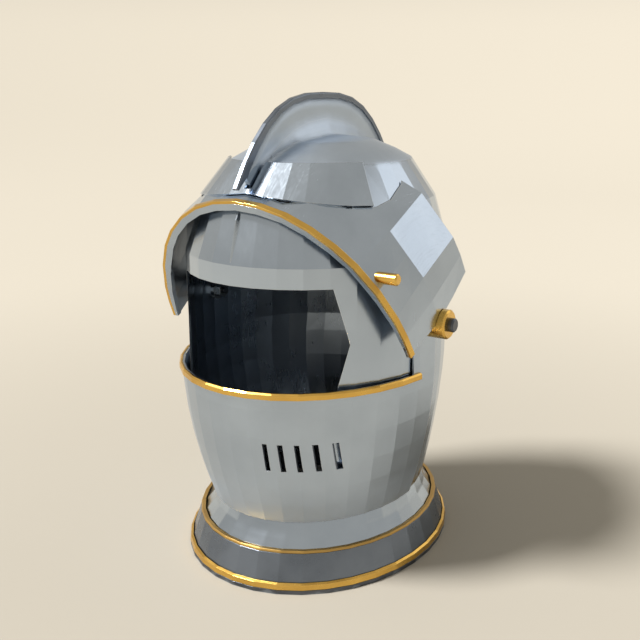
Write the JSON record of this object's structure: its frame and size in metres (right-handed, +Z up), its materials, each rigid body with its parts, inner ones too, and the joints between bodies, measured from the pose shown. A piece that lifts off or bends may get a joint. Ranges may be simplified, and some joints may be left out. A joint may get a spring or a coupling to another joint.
{
  "type": "close helmet",
  "caption": "Combed close helmet: skull, raised visor and bevor that turn on shared bolts, and a flared collar, in faceted steel with brass trim.",
  "frame": {"origin": "centre of the collar's flat underside, in the helmet's middle plane, midway along the foot", "axes": "+Z up, the face looks along -Y, the wearer's left is +X"},
  "size_m": [0.2408, 0.2441, 0.348],
  "materials": {
    "steel": "satin, hammered in flat facets",
    "blued_steel": "blued, satin",
    "brass": "polished",
    "dark_steel": "blackened"
  },
  "bodies": {
    "skull": {"skull": "steel", "comb_border": "blued_steel", "boss_left": "brass", "boss_right": "brass", "bolt_left": "dark_steel", "bolt_right": "dark_steel", "washer_left": "dark_steel", "washer_right": "dark_steel", "nut_left": "dark_steel", "nut_right": "dark_steel", "collar": "steel", "collar_band": "blued_steel", "collar_ring": "brass", "foot_ring": "brass", "foot_edge": "dark_steel", "nape_rivets": "steel"},
    "visor": {"visor": "steel", "visor_band": "brass", "lifting_peg": "brass"},
    "bevor": {"bevor": "steel", "bevor_rim": "brass"}
  },
  "joints": [
    {"name": "visor_pivot", "type": "hinge", "parent": "skull", "child": "visor", "pos_m": [0, -0.0132, 0.1896], "axis": [1, 0, 0], "range_deg": [0, 61]},
    {"name": "bevor_pivot", "type": "hinge", "parent": "skull", "child": "bevor", "pos_m": [0, -0.0132, 0.1896], "axis": [-1, 0, 0], "range_deg": [0, 10]}
  ]
}
